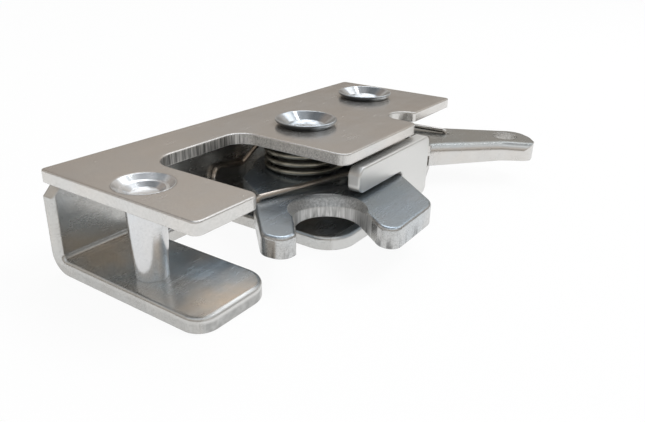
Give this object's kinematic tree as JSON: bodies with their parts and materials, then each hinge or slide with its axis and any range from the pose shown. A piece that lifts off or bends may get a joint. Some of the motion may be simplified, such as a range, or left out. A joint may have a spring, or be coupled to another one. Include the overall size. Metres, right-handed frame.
{
  "type": "tray latch",
  "caption": "Flat rotary latch: sprung fork and pull lever riveted between a folded steel base and a cover plate, open to a striker at the mouth.",
  "frame": {"origin": "on the underside of the base plate, on the fork's pivot axis", "axes": "+X along the latch towards the release lever, +Y towards the folded back wall, +Z from the base plate up to the cover"},
  "size_m": [0.1199, 0.06, 0.023],
  "materials": {
    "zinc_plate": "bright zinc plate on pressed sheet steel",
    "cover_steel": "satin zinc plate, warm grey",
    "rivet_zinc": "bright zinc plate, slightly blue",
    "fork_zinc": "smooth bright zinc plate",
    "lever_zinc": "smooth bright zinc plate",
    "spring_wire": "drawn spring wire with a faint bronze tint"
  },
  "bodies": {
    "housing": {"base_plate": "zinc_plate", "cover_plate": "cover_steel", "spacer_rivet": "rivet_zinc", "fork_rivet": "rivet_zinc", "lever_rivet": "rivet_zinc", "fork_spring": "spring_wire", "lever_spring": "spring_wire", "fork_bush": "rivet_zinc", "lever_bush": "rivet_zinc", "fork_spacer": "rivet_zinc", "lever_spacer": "rivet_zinc"},
    "fork": {"fork": "fork_zinc"},
    "release_lever": {"release_lever": "lever_zinc"}
  },
  "joints": [
    {"name": "fork_turn", "type": "hinge", "parent": "housing", "child": "fork", "pos_m": [0, 0, 0.00895], "axis": [0, 0, 1], "range_deg": [-42, 0], "stiffness_Nm_per_rad": 0.3, "deforming": ["fork_spring"]},
    {"name": "lever_pull", "type": "hinge", "parent": "housing", "child": "release_lever", "pos_m": [0.0346, 0.0044, 0.0097], "axis": [0, 0, 1], "range_deg": [-12, 8], "stiffness_Nm_per_rad": 0.3, "deforming": ["lever_spring"]}
  ]
}
